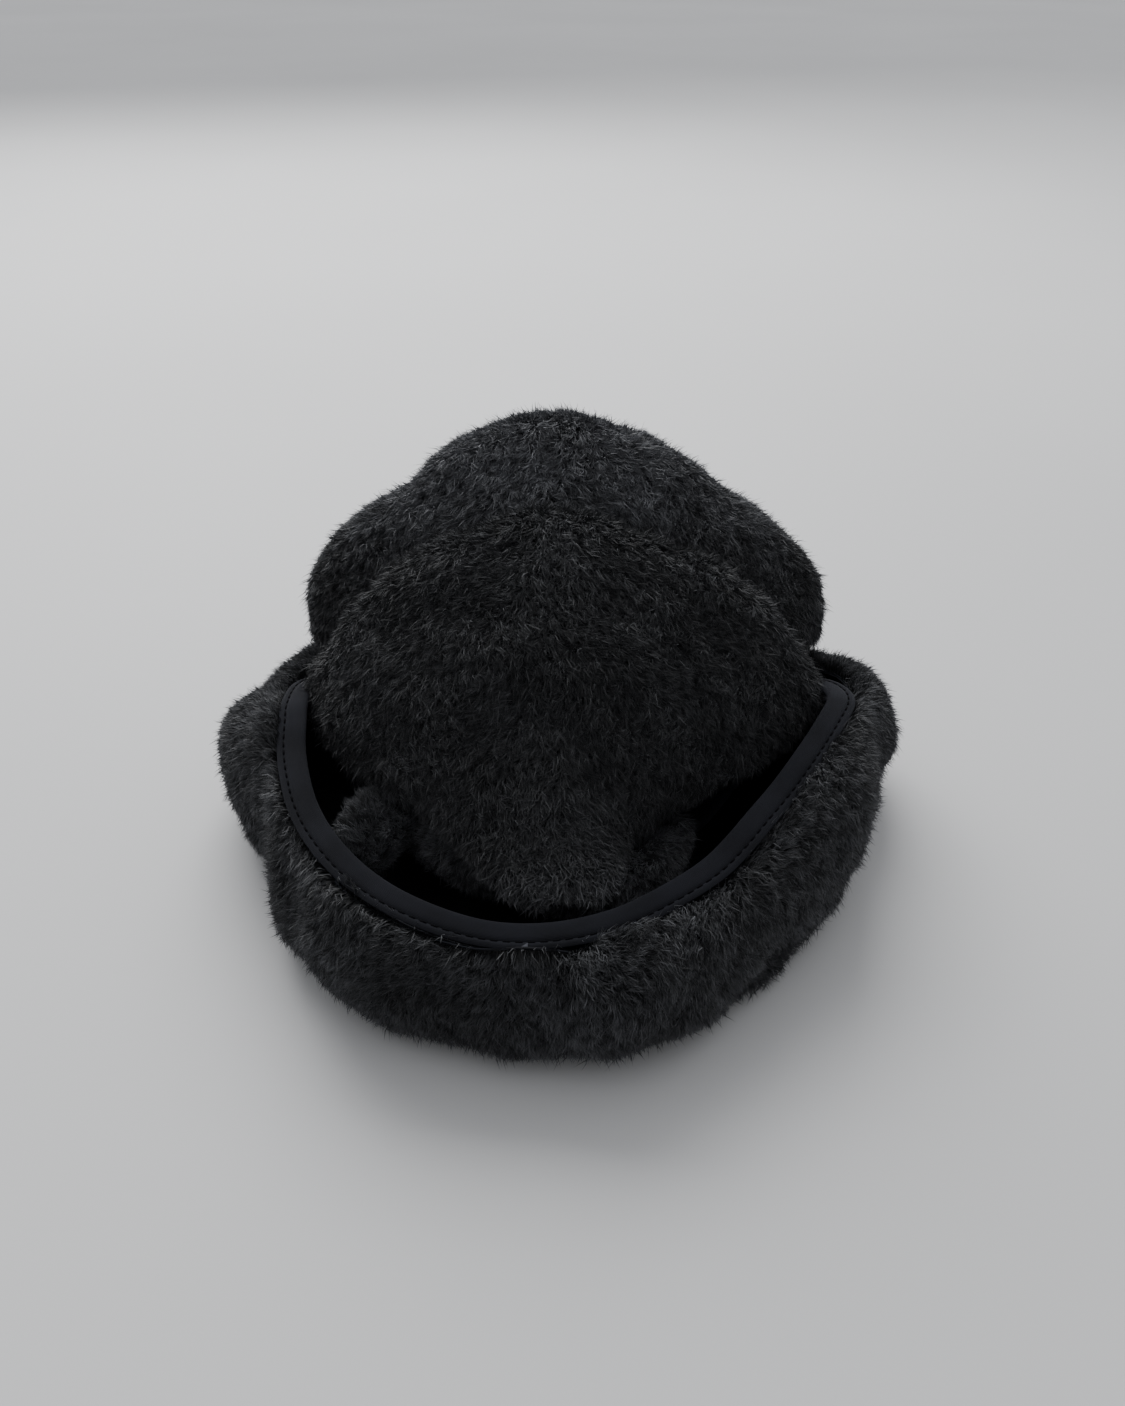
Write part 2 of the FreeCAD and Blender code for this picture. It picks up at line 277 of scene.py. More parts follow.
def neck_section(position, turn):
    """Bearing, radius and height on the neck's skin; turn 0 is the edge, 90 the widest, 180 the ground."""
    angle, edge_radius, edge_z, outer_radius = np.moveaxis(between(NECK_ROUND, position), -1, 0)
    widest_z = WIDEST * edge_z
    across = np.sin(np.radians(turn))
    down = np.cos(np.radians(turn))
    upper = turn <= 90
    r_above = edge_radius + (outer_radius - edge_radius) * across
    r_below = outer_radius - HEM_TUCK * (1 - across)
    z_above = widest_z + (edge_z - widest_z) * down
    z_below = widest_z + (widest_z - HEM_RISE) * down
    return angle, np.where(upper, r_above, r_below), np.where(upper, z_above, z_below)


def on_ring(angle, r, z):
    bearing = np.radians(angle)
    return np.stack([r * np.sin(bearing), NECK_CENTRE_Y - r * np.cos(bearing), z], axis=-1)


def neck_point(position, turn, inset):
    """Point at a depth inside the neck's skin."""
    angle, r, z = neck_section(position, turn)
    _, r_before, z_before = neck_section(position, np.maximum(turn - 1, 0))
    _, r_after, z_after = neck_section(position, np.minimum(turn + 1, 180))
    length = np.hypot(r_after - r_before, z_after - z_before)
    r = r + inset * (z_after - z_before) / length
    z = z - inset * (r_after - r_before) / length
    return on_ring(angle, r, z)


# ---- meshes -----------------------------------------------------------------
def mesh_object(name, points, quads, triangles=(), bake_uv=None, weave_uv=None):
    """Mesh from arrays in millimetres; the UV arrays hold one pair per vertex."""
    mesh = bpy.data.meshes.new(name)
    quads = np.asarray(quads, np.int32).reshape(-1, 4)
    triangles = np.asarray(triangles, np.int32).reshape(-1, 3)
    loops = np.concatenate([quads.ravel(), triangles.ravel()])
    starts = np.concatenate([
        np.arange(len(quads)) * 4, len(quads) * 4 + np.arange(len(triangles)) * 3
    ]).astype(np.int32)
    mesh.vertices.add(len(points))
    mesh.vertices.foreach_set("co", (np.asarray(points) * MM).astype(np.float32).ravel())
    mesh.loops.add(len(loops))
    mesh.loops.foreach_set("vertex_index", loops.astype(np.int32))
    mesh.polygons.add(len(starts))
    mesh.polygons.foreach_set("loop_start", starts)
    mesh.update(calc_edges=True)
    mesh.polygons.foreach_set("use_smooth", np.ones(len(starts), bool))
    for layer_name, uv in (("weave", weave_uv), ("OFBake", bake_uv)):
        if uv is not None:
            layer = mesh.uv_layers.new(name=layer_name)
            layer.data.foreach_set("uv", uv[loops].astype(np.float32).ravel())
    obj = bpy.data.objects.new(name, mesh)
    bpy.context.scene.collection.objects.link(obj)
    return obj


def grid_quads(rows, columns, close_rows=False, close_columns=False):
    i = np.arange(rows if close_rows else rows - 1)
    j = np.arange(columns if close_columns else columns - 1)
    i, j = np.meshgrid(i, j, indexing="ij")
    i, j = i.ravel(), j.ravel()
    i2, j2 = (i + 1) % rows, (j + 1) % columns
    return np.stack([i * columns + j, i2 * columns + j, i2 * columns + j2, i * columns + j2], axis=1)


def bake_places(rows, columns):
    """A place in the bake map for each point of a grid, inside a small margin."""
    u, v = np.meshgrid(np.linspace(0.02, 0.98, rows), np.linspace(0.02, 0.98, columns), indexing="ij")
    return np.stack([u, v], axis=-1).reshape(-1, 2)


def chart(grid):
    """Distances along the rows and columns of a grid, in millimetres."""
    down = np.linalg.norm(np.diff(grid, axis=0), axis=-1).mean(axis=1)
    across = np.linalg.norm(np.diff(grid, axis=1), axis=-1).mean(axis=0)
    s = np.concatenate([[0], np.cumsum(down)])
    t = np.concatenate([[0], np.cumsum(across)])
    return np.stack(np.meshgrid(s, t, indexing="ij"), axis=-1)


def cloth(name, outer, inner, facing=1):
    """Closed piece of cloth between two grids of the same shape; facing -1 turns the faces over."""
    rows, columns = outer.shape[:2]
    count = rows * columns
    front = grid_quads(rows, columns)
    back = front[:, ::-1] + count
    grid_index = np.arange(count).reshape(rows, columns)
    border = np.concatenate([
        grid_index[0, :-1], grid_index[:-1, -1], grid_index[-1, :0:-1], grid_index[:0:-1, 0]
    ])
    after = np.roll(border, -1)
    rim = np.stack([after, border, border + count, after + count], axis=1)
    bake = bake_places(rows, columns)
    bake = np.concatenate([bake * [0.5, 1], bake * [0.5, 1] + [0.5, 0]])
    flat = chart(outer).reshape(-1, 2) * MM
    points = np.concatenate([outer.reshape(-1, 3), inner.reshape(-1, 3)])
    quads = np.concatenate([front, back, rim])[:, ::facing]
    return mesh_object(name, points, quads, (), bake, np.concatenate([flat, flat]))


def distance_along(path):
    return np.concatenate([[0], np.cumsum(np.linalg.norm(np.diff(path, axis=0), axis=1))])


def offset_path(path, outwards, up):
    """Path moved sideways and upwards by distances."""
    along = unit(np.gradient(path, axis=0))
    out = unit(np.cross(along, [0, 0, 1]))
    return path + out * outwards + np.cross(out, along) * up


def sweep(name, path, section):
    """Closed band of one section along a path."""
    along = unit(np.gradient(path, axis=0))
    out = unit(np.cross(along, [0, 0, 1]))
    up = np.cross(out, along)
    fine = np.linspace(0, len(section), 4 * len(section), endpoint=False)
    ring = between(np.vstack([section[-1:], section, section[:2]]), fine + 1)
    grid = path[:, None] + out[:, None] * ring[None, :, :1] + up[:, None] * ring[None, :, 1:]
    rows, columns = grid.shape[:2]
    quads = grid_quads(rows, columns, close_columns=True)
    middles = len(path) * columns + np.array([0, 1])
    j = np.arange(columns)
    j2 = (j + 1) % columns
    last = (rows - 1) * columns
    caps = np.concatenate([
        np.stack([j, j2, np.full(columns, middles[0])], axis=1),
        np.stack([last + j2, last + j, np.full(columns, middles[1])], axis=1),
    ])
    points = np.concatenate([grid.reshape(-1, 3), path[[0, -1]]])
    length = distance_along(path)
    girth = np.cumsum(np.linalg.norm(np.roll(ring, -1, axis=0) - ring, axis=1))
    weave = np.stack(np.meshgrid(length, girth, indexing="ij"), axis=-1).reshape(-1, 2)
    weave = np.concatenate([weave, np.zeros((2, 2))]) * MM
    bake = np.concatenate([bake_places(rows, columns), [[0.01, 0.5], [0.99, 0.5]]])
    return mesh_object(name, points, quads, caps, bake, weave)


def stitches(name, lines, body):
    """Rows of short round threads laid end to end along lines, as one piece."""
    points, quads, triangles = [], [], []
    sides, rings = THREAD_SIDES, len(STITCH_RINGS)
    turn = np.arange(sides) * 2 * math.pi / sides
    for line in lines:
        length = distance_along(line)
        for start in np.arange(PITCH, length[-1] - PITCH, PITCH):
            spots = start + STITCH * STITCH_RINGS
            spine = np.stack([np.interp(spots, length, line[:, k]) for k in range(3)], axis=1)
            spine[[0, 3], 2] -= STITCH_DIP
            along = unit(spine[2] - spine[1])
            side = unit(np.cross(along, [0.1, 0.2, 1.0]))
            up = np.cross(side, along)
            radii = THREAD * STITCH_TAPER
            circle = side * np.cos(turn)[:, None] + up * np.sin(turn)[:, None]
            first = sum(len(group) for group in points)
            points.append((spine[:, None] + circle[None] * radii[:, None, None]).reshape(-1, 3))
            points.append(spine[[0, 3]] + np.outer([-1, 1], along) * THREAD * 0.3)
            quads.append(grid_quads(rings, sides, close_columns=True) + first)
            j, j2 = np.arange(sides), (np.arange(sides) + 1) % sides
            end, cap = first + (rings - 1) * sides, first + rings * sides
            triangles.append(np.stack([first + j, first + j2, np.full(sides, cap)], axis=1))
            triangles.append(np.stack([end + j2, end + j, np.full(sides, cap + 1)], axis=1))
    points, quads, triangles = (np.concatenate(group) for group in (points, quads, triangles))
    obj = mesh_object(name, points, quads, triangles)
    return finish_piece(obj, THREAD_MATERIAL, body)


# ---- pile -------------------------------------------------------------------
def sample(field, row, column):
    """A grid's value at fractional places."""
    i = np.clip(row.astype(int), 0, field.shape[0] - 2)
    j = np.clip(column.astype(int), 0, field.shape[1] - 2)
    a, b = (row - i)[:, None], (column - j)[:, None]
    return (
        field[i, j] * (1 - a) * (1 - b) + field[i + 1, j] * a * (1 - b)
        + field[i, j + 1] * (1 - a) * b + field[i + 1, j + 1] * a * b
    )


def scatter(grid, density, rng):
    """Random places on a grid, even by area, in order of their rows."""
    a = grid[1:, :-1] - grid[:-1, :-1]
    b = grid[:-1, 1:] - grid[:-1, :-1]
    area = np.linalg.norm(np.cross(a, b), axis=-1)
    count = int(area.sum() * density)
    cell = np.sort(rng.choice(area.size, count, p=(area / area.sum()).ravel()))
    i, j = np.unravel_index(cell, area.shape)
    return i + rng.random(count), j + rng.random(count)


def tufts(place, size, rng):
    """For places on a chart, the vector to the nearest tuft and that tuft's random numbers."""
    table = rng.random((4096, 5))
    base = np.floor(place / size).astype(np.int64)
    best = np.full(len(place), 1e9)
    pull = np.zeros_like(place)
    luck = np.zeros((len(place), 3))
    for dx in (-1, 0, 1):
        for dy in (-1, 0, 1):
            cell = base + [dx, dy]
            key = (cell[:, 0] * 73856093 ^ cell[:, 1] * 19349663) & 4095
            centre = (cell + 0.15 + 0.7 * table[key, :2]) * size
            offset = centre - place
            distance = np.einsum("ij,ij->i", offset, offset)
            nearer = distance < best
            best[nearer] = distance[nearer]
            pull[nearer] = offset[nearer]
            luck[nearer] = table[key[nearer], 2:]
    return pull, luck


def painted_light_and_patches(points):
    """Painted light: how much lighter the pile is at a point, for the light that reaches it on the top of the
    back crown, on the skirts and under the brow; with random patches of tone.
    """
    # painted light on the top of the back crown, lit from behind
    top = smooth_step((points[:, 2] - 76) / 50) * smooth_step((points[:, 1] - 10) / 30)
    # painted light on the skirts
    skirt = smooth_step((np.hypot(points[:, 0], points[:, 1] - NECK_CENTRE_Y) - 92) / 14)
    # painted light under the brow, standing for light that reaches in there
    inside = smooth_step((50 - points[:, 2]) / 8) * (1 - skirt)
    # random patches of tone
    patch = 0.12 * waves(points, 34.0, 91)
    return 1.0 + PAINTED_LIGHT_TOP * top + (PAINTED_LIGHT_SKIRT * skirt + PAINTED_LIGHT_INSIDE * inside) * (1 - top) + patch


def along_cloth(ways, shares):
    """Vectors with the given shares along the rows and the columns of a grid."""
    return ways[0] * shares[:, :1] + ways[1] * shares[:, 1:]


def lean_ways(root, ways, lean, luck, seed, rng):
    """The way each strand leans: the nap's, turned by the cloth, the tuft and chance."""
    turn = waves(root, 30.0, seed + 1) * 0.45 + (luck[:, 0] - 0.5) * 1.5 + rng.normal(0, 0.35, len(root))
    cos, sin = np.cos(turn)[:, None], np.sin(turn)[:, None]
    row_share, column_share = lean[:, :1], lean[:, 1:]
    turned = [row_share * cos - column_share * sin, row_share * sin + column_share * cos]
    return unit(along_cloth(ways, unit(np.concatenate(turned, axis=1))))


def strand_sizes(root, luck, length, lift, seed, rng):
    """Length of each strand, and the share of it that stands up from the cloth."""
    count = len(root)
    size = length * (0.76 + 0.24 * luck[:, 1] + 0.16 * rng.random(count) + 0.07 * waves(root, 14.0, seed + 2))
    flyaway = rng.random(count) < FLYAWAY_SHARE
    size *= np.where(flyaway, FLYAWAY_LENGTH, 1.0)
    rise = lift + 0.2 * (luck[:, 2] - 0.5) + 0.09 * rng.normal(size=count) + 0.15 * flyaway
    return size, rise.clip(0.3, 0.97)


def strand_spines(root, out, way, ways, pull, size, rise, seed, rng):
    """Middle and tip of each strand, drawn into its tuft and swirled a little."""
    count = len(root)
    run = np.sqrt(1 - rise**2)
    loyal = np.where(rng.random(count) < LOOSE_SHARE, 0.1, 1.0)[:, None]
    gather = along_cloth(ways, pull) * loyal
    swirl = ways[0] * waves(root, 3.4, seed + 3)[:, None] + ways[1] * waves(root, 3.4, seed + 4)[:, None]
    middle = root + out * (size * rise * 0.66)[:, None] + way * (size * run * 0.22)[:, None]
    middle += gather * 0.15 - swirl * 0.35 + rng.normal(0, 0.3, (count, 3))
    tip = root + out * (size * rise)[:, None] + way * (size * run)[:, None]
    tip += gather * 0.64 + swirl * 0.5 + rng.normal(0, 0.22, (count, 3))
    splay = np.maximum(TIP_CLEAR - tip[:, 2], 0) * 0.9
    tip[:, :2] += unit(root[:, :2] - [0, NECK_CENTRE_Y]) * splay[:, None]
    tip[:, 2] = np.maximum(tip[:, 2], TIP_CLEAR)
    middle[:, 2] = np.maximum(middle[:, 2], 2 * TIP_CLEAR)
    return middle, tip


def strand_points(root, middle, tip, out, rng):
    """Five points of each strand: a pair at the root, a pair at the middle and the tip."""
    count = len(root)
    along = unit(tip - root)
    side = unit(np.cross(along, out + rng.normal(0, 0.05, (count, 3))))
    other = np.cross(along, side)
    spin = rng.uniform(0, math.pi, count)[:, None]
    side = (side * np.cos(spin) + other * np.sin(spin)) * STRAND_WIDTH / 2
    corners = [root - side, root + side, middle - side * 0.85, middle + side * 0.85, tip]
    return np.stack(corners, axis=1)


def pile(name, grid, facing, nap, body, seed, length=PILE_LENGTH, lift=LIFT, keep=None):
    """Strands standing on a grid, leaning along nap(grid), which gives row and column shares."""
    rng = np.random.default_rng(seed)
    row, column = scatter(grid, DENSITY, rng)
    root = sample(grid, row, column)
    out = unit(sample(normals_of(grid) * facing, row, column))
    place = sample(chart(grid), row, column)
    ways = [unit(sample(unit(np.gradient(grid, axis=axis)), row, column)) for axis in (0, 1)]
    pull, luck = tufts(place, TUFT, rng)
    way = lean_ways(root, ways, sample(nap(grid), row, column), luck, seed, rng)
    size, rise = strand_sizes(root, luck, length, lift, seed, rng)
    middle, tip = strand_spines(root, out, way, ways, pull, size, rise, seed, rng)
    points = strand_points(root, middle, tip, out, rng)
    # random tone of each tuft and strand, times the painted light
    tone = (0.5 + 0.74 * luck[:, 1:2] - 0.12 * rng.random((len(root), 1))) * painted_light_and_patches(root)[:, None]
    # painted shade and light from root to tip, times each strand's tone and painted light
    painted_shade_and_tone = STRAND_PAINTED_SHADE * tone
    places = np.stack([row / (grid.shape[0] - 1), column / (grid.shape[1] - 1)], axis=1) * 0.98 + 0.01
    bake = places[:, None] + BAKE_CORNERS
    if keep is not None:
        wanted = keep(tip)
        points, painted_shade_and_tone, bake = points[wanted], painted_shade_and_tone[wanted], bake[wanted]
    return strand_pieces(name, points, painted_shade_and_tone, bake, body)


def strand_pieces(name, points, painted_shade_and_tone, bake, body):
    """Pieces of at most STRANDS_PER_PIECE strands each, riding on a body where one is named."""
    made = []
    pieces = math.ceil(len(points) / STRANDS_PER_PIECE)
    for k in range(pieces):
        part = slice(len(points) * k // pieces, len(points) * (k + 1) // pieces)
        base = np.arange(part.stop - part.start)[:, None] * 5
        quads = base + [0, 1, 3, 2]
        triangles = base + [2, 3, 4]
        corners, spots = points[part].reshape(-1, 3), bake[part].reshape(-1, 2)
        obj = mesh_object(f"{name}_{k + 1}", corners, quads, triangles, spots)
        # the attribute along carries the painted shade, painted light and tone of each point
        attribute = obj.data.attributes.new("along", "FLOAT", "POINT")
        attribute.data.foreach_set("value", painted_shade_and_tone[part].ravel().astype(np.float32))
        obj.data.materials.append(FLEECE_MATERIAL)
        if body:
            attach(obj, body)
        made.append(obj)
    return made


# ---- materials ----------------------------------------------------------------
def new_material(name):
    material = bpy.data.materials.new(name)
    material.use_nodes = True
    shader = material.node_tree.nodes["Principled BSDF"]
    return material, material.node_tree, shader


def noise_node(tree, scale, detail=3.0, vector=None):
    node = tree.nodes.new("ShaderNodeTexNoise")
    node.inputs["Scale"].default_value = scale
    node.inputs["Detail"].default_value = detail
    if vector is not None:
        tree.links.new(vector, node.inputs["Vector"])
    return node


def ramp_node(tree, value, stops):
    node = tree.nodes.new("ShaderNodeValToRGB")
    ramp = node.color_ramp
    while len(ramp.elements) < len(stops):
        ramp.elements.new(0.5)
    for element, (place, color) in zip(ramp.elements, stops):
        element.position = place
        element.color = (*color, 1)
    tree.links.new(value, node.inputs["Fac"])
    return node


def object_coordinates(tree):
    return tree.nodes.new("ShaderNodeTexCoord").outputs["Object"]


def fleece_material():
    material, tree, shader = new_material("fleece_pile")
    place = object_coordinates(tree)
    patch = noise_node(tree, 28.0, 3.0, place)
    greys = [(0.3, (0.020, 0.0205, 0.022)), (0.7, (0.034, 0.035, 0.038))]
    tone = ramp_node(tree, patch.outputs["Fac"], greys)
    along = tree.nodes.new("ShaderNodeAttribute")
    along.attribute_name = "along"
    # painted shade and light: roots deep in the pile are darkened and tips lightened, for the shade and light
    # that fall through the pile
    painted_shade_root_to_tip = [(0.0, (0.06,) * 3), (0.35, (0.5,) * 3), (0.62, (1.5,) * 3), (1.0, (3.6,) * 3)]
    depth = ramp_node(tree, along.outputs["Fac"], painted_shade_root_to_tip)
    mix = tree.nodes.new("ShaderNodeMix")
    mix.data_type = "RGBA"
    mix.blend_type = "MULTIPLY"
    mix.inputs["Factor"].default_value = 1.0
    tree.links.new(tone.outputs["Color"], mix.inputs[6])
    tree.links.new(depth.outputs["Color"], mix.inputs[7])
    tree.links.new(mix.outputs[2], shader.inputs["Base Color"])
    shader.inputs["Roughness"].default_value = 0.62
    shader.inputs["Specular IOR Level"].default_value = 0.35
    shader.inputs["Sheen Weight"].default_value = 0.25
    shader.inputs["Sheen Roughness"].default_value = 0.45
    shader.inputs["Sheen Tint"].default_value = (0.75, 0.78, 0.82, 1)
    return material


def knit_material(name, dark, light, wale, roughness=0.85, sheen=0.2, bump=0.25):
    """Jersey knit: wales and courses in the weave UV, with soft patches; wale is in metres."""
    material, tree, shader = new_material(name)
    uv = tree.nodes.new("ShaderNodeUVMap")
    uv.uv_map = "weave"
    heights = []
    for direction, scale in (("X", 1.0), ("Y", 0.7)):
        wave = tree.nodes.new("ShaderNodeTexWave")
        wave.bands_direction = direction
        wave.inputs["Scale"].default_value = scale / wale
        wave.inputs["Distortion"].default_value = 1.2
        wave.inputs["Detail"].default_value = 1.0
        tree.links.new(uv.outputs["UV"], wave.inputs["Vector"])
        heights.append(wave.outputs["Fac"])
    knit = tree.nodes.new("ShaderNodeMath")
    knit.operation = "MULTIPLY"
    tree.links.new(heights[0], knit.inputs[0])
    tree.links.new(heights[1], knit.inputs[1])
    patch = noise_node(tree, 60.0, 4.0, object_coordinates(tree))
    blend = tree.nodes.new("ShaderNodeMath")
    blend.operation = "MULTIPLY_ADD"
    tree.links.new(knit.outputs[0], blend.inputs[0])
    blend.inputs[1].default_value = 0.45
    tree.links.new(patch.outputs["Fac"], blend.inputs[2])
    tone = ramp_node(tree, blend.outputs[0], [(0.35, dark), (0.95, light)])
    tree.links.new(tone.outputs["Color"], shader.inputs["Base Color"])
    bump_node = tree.nodes.new("ShaderNodeBump")
    bump_node.inputs["Strength"].default_value = bump
    bump_node.inputs["Distance"].default_value = 0.0002
    tree.links.new(knit.outputs[0], bump_node.inputs["Height"])
    tree.links.new(bump_node.outputs["Normal"], shader.inputs["Normal"])
    shader.inputs["Roughness"].default_value = roughness
    shader.inputs["Specular IOR Level"].default_value = 0.15
    shader.inputs["Sheen Weight"].default_value = sheen
    shader.inputs["Sheen Roughness"].default_value = 0.5
    shader.inputs["Sheen Tint"].default_value = (0.7, 0.75, 0.9, 1)
    return material


def thread_material():
    material, tree, shader = new_material("thread")
    twist = tree.nodes.new("ShaderNodeTexWave")
    twist.bands_direction = "DIAGONAL"
    twist.inputs["Scale"].default_value = 900.0
    tree.links.new(object_coordinates(tree), twist.inputs["Vector"])
    blacks = [(0.2, (0.001, 0.001, 0.0015)), (0.8, (0.003, 0.003, 0.004))]
    tone = ramp_node(tree, twist.outputs["Fac"], blacks)
    tree.links.new(tone.outputs["Color"], shader.inputs["Base Color"])
    shader.inputs["Roughness"].default_value = 0.9
    shader.inputs["Specular IOR Level"].default_value = 0.05
    return material


def label_material():
    """Satin ribbon: fine ribs and a soft gloss."""
    material, tree, shader = new_material("label_satin")
    ribs = tree.nodes.new("ShaderNodeTexWave")
    ribs.bands_direction = "Z"
    ribs.inputs["Scale"].default_value = 700.0
    ribs.inputs["Distortion"].default_value = 0.6
    tree.links.new(object_coordinates(tree), ribs.inputs["Vector"])
    whites = [(0.2, (0.50, 0.50, 0.48)), (0.8, (0.60, 0.60, 0.58))]
    tone = ramp_node(tree, ribs.outputs["Fac"], whites)
    tree.links.new(tone.outputs["Color"], shader.inputs["Base Color"])
    shader.inputs["Roughness"].default_value = 0.38
    shader.inputs["Sheen Weight"].default_value = 0.3
    return material


def floor_material():
    material, tree, shader = new_material("floor")
    place = object_coordinates(tree)
    broad = noise_node(tree, 1.3, 3.0, place)
    greys = [(0.3, (0.485, 0.487, 0.49)), (0.7, (0.525, 0.527, 0.53))]
    tone = ramp_node(tree, broad.outputs["Fac"], greys)
    tree.links.new(tone.outputs["Color"], shader.inputs["Base Color"])
    shader.inputs["Roughness"].default_value = 0.6
    shader.inputs["Specular IOR Level"].default_value = 0.3
    return material


FLEECE_MATERIAL = fleece_material()
BACKING_MATERIAL = knit_material("knit_backing", (0.006, 0.006, 0.007), (0.014, 0.014, 0.016), 0.0011)
LINING_MATERIAL = knit_material("jersey_lining", (0.008, 0.008, 0.010), (0.016, 0.016, 0.019), 0.0008)
BINDING_MATERIAL = knit_material(
    "stretch_binding", (0.0022, 0.0023, 0.0034), (0.0080, 0.0086, 0.0125), 0.0008,
    roughness=0.95, sheen=0.04, bump=0.6)
THREAD_MATERIAL = thread_material()
LABEL_MATERIAL = label_material()


def finish_piece(obj, material, body):
    obj.data.materials.append(material)
    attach(obj, body)
    return obj


# ---- crown --------------------------------------------------------------------
def crown_side(side, inset, columns=90, first=0.0, last=90.0):
    """Grid of one crown panel, from the centre seam outwards, and its normals; side is -1 or 1."""
    rows = np.linspace(0, len(CROWN) - 1, 190)
    angles = np.linspace(first, last, columns) * side
    grid = grid_of(crown_point, rows, angles, inset)
    normal = normals_of(grid) * side
    x, y = grid[..., 0], grid[..., 1]
    wobble = waves(grid, 46.0, 11) * 1.2 + waves(grid, 22.0, 12) * 0.45
    seam = -SEAM_DIP * bump(angles, 0.0, SEAM_ANGLE)[None, :]
    outer_share = smooth_step((np.abs(x) - 12) / 55)
    crease_depth = CREASE_MIDDLE + (CREASE_SIDE - CREASE_MIDDLE) * outer_share
    crease = -crease_depth * bump(y, CREASE_Y - CREASE_BOW * outer_share, CREASE_WIDTH)
    ridge_height = RIDGE_MIDDLE + (RIDGE_SIDE - RIDGE_MIDDLE) * outer_share
    ridge = ridge_height * bump(y, RIDGE_Y, RIDGE_WIDTH)
    back = bump(y, BACK_Y, BACK_LENGTH) * smooth_step((np.abs(x) - 30) / 45)
    shoulder = SHOULDER * back * bump(grid[..., 2], SHOULDER_Z, SHOULDER_HEIGHT)
    roof = -ROOF_DIP * back * bump(grid[..., 2], ROOF_Z, ROOF_HEIGHT)
    grid = grid + normal * (wobble + seam + crease + ridge + roof)[..., None]
    grid[..., 0] += np.sign(x) * shoulder
    return grid, normal


def crown_nap(grid):
    """The pile of the crown lies forward, and away from the centre seam towards the sides."""
    rows, columns = grid.shape[:2]
    forward = np.linspace(0.35, 1.0, rows)[:, None] * np.ones(columns)
    outward = np.linspace(1.0, 0.5, rows)[:, None] * smooth_step(np.linspace(0, 4, columns))
    return np.stack([forward, outward], axis=-1)


def build_crown():
    for side, word in ((-1, "left"), (1, "right")):
        grid, normal = crown_side(side, PILE_HEIGHT)
        backing = cloth(f"crown_backing_{word}", grid, grid - normal * BACKING, side)
        finish_piece(backing, BACKING_MATERIAL, "crown")
        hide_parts(f"crown_panel_{word}")
        lining_grid, normal = crown_side(side, LINING_DEPTH, 50, 5.0, 88.0)
        lining = cloth(f"crown_lining_cloth_{word}", lining_grid, lining_grid - normal * LINING, side)
        finish_piece(lining, LINING_MATERIAL, "crown")
        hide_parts(f"crown_lining_{word}")
        strands = pile(f"crown_pile_{word}", grid, side, crown_nap, "crown", 100 + side)
    build_crown_seam()


def build_crown_seam():
    """Folded seam allowance under the apex, with its stitches."""
    rows = np.linspace(0.8, len(CROWN) - 1.8, 140)
    angles = np.linspace(-4, 4, 9)
    top = grid_of(crown_point, rows, angles, SEAM_TOP)
    bottom = grid_of(crown_point, rows, angles, SEAM_BOTTOM)
    allowance = cloth("crown_seam_fold", top, bottom)
    finish_piece(allowance, BACKING_MATERIAL, "crown")
    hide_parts("crown_seam_allowance")
    line = crown_point(rows, np.zeros(len(rows)), SEAM_BOTTOM + THREAD)
    thread = stitches("crown_seam_stitches", [line], "crown")
    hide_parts("crown_seam_thread")


# ---- brow ---------------------------------------------------------------------
def path_point(table):
    """Function giving a tube about a table's path; turn 0 is outwards and 90 up."""
    last = len(table) - 1

    def point(position, turn, inset):
        row = between(table, position)
        centre, radius = row[..., :3], np.maximum(row[..., 3] - inset, 0.8)
        ahead = between(table, np.minimum(position + 0.05, last))[..., :3]
        behind = between(table, np.maximum(position - 0.05, 0))[..., :3]
        along = unit(ahead - behind)
        out = unit(np.cross(along, [0, 0, 1]))
        up = np.cross(out, along)
        angle = np.radians(turn)[..., None]
        return centre + (out * np.cos(angle) + up * np.sin(angle)) * radius[..., None]

    return point


def rolled_nap(grid):
    """The pile of a roll lies round it and a little back along it."""
    return np.stack([np.full(grid.shape[:2], -0.35), np.full(grid.shape[:2], -1.0)], axis=-1)


def rolled_fleece(name, table, turns, body, seed):
    """Rolled edge of fleece about a path: its backing and its pile."""
    rows = np.linspace(0, len(table) - 1, 90)
    grid = grid_of(path_point(table), rows, turns, PILE_HEIGHT * 0.8)
    grid = grid + normals_of(grid) * waves(grid, 26.0, 21)[..., None]
    backing = cloth(name + "_backing", grid, grid - normals_of(grid) * BACKING)
    finish_piece(backing, BACKING_MATERIAL, body)
    return backing, pile(name + "_pile", grid, 1, rolled_nap, body, seed, length=FOLDED_PILE_LENGTH)


def build_brow():
    """Everything at the brow and behind it: roll, cheek fold, binding and loose lining, the last a dark sheet
    for the shade in the opening.
    """
    backing, strands = rolled_fleece("brow_facing", BROW_ROLL, np.linspace(-170, 110, 60), "crown", 130)
    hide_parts("brow_facing")
    cheek, cheek_strands = rolled_fleece("cheek_fold", CHEEK_FOLD, np.linspace(-80, 260, 60), "neck", 135)
    build_upper_binding()
    build_shade_curtain()


def build_upper_binding():
    path = between(BROW_BINDING, np.linspace(0, len(BROW_BINDING) - 1, 160))
    band = sweep("brow_binding_band", path, BINDING_SECTION * BROW_SCALE)
    finish_piece(band, BINDING_MATERIAL, "crown")
    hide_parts("face_binding_upper")
    line = offset_path(path, STITCH_OUTWARDS * BROW_SCALE, STITCH_UP * BROW_SCALE)
    thread = stitches("brow_binding_stitches", [line], "crown")
    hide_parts("binding_stitch_upper")


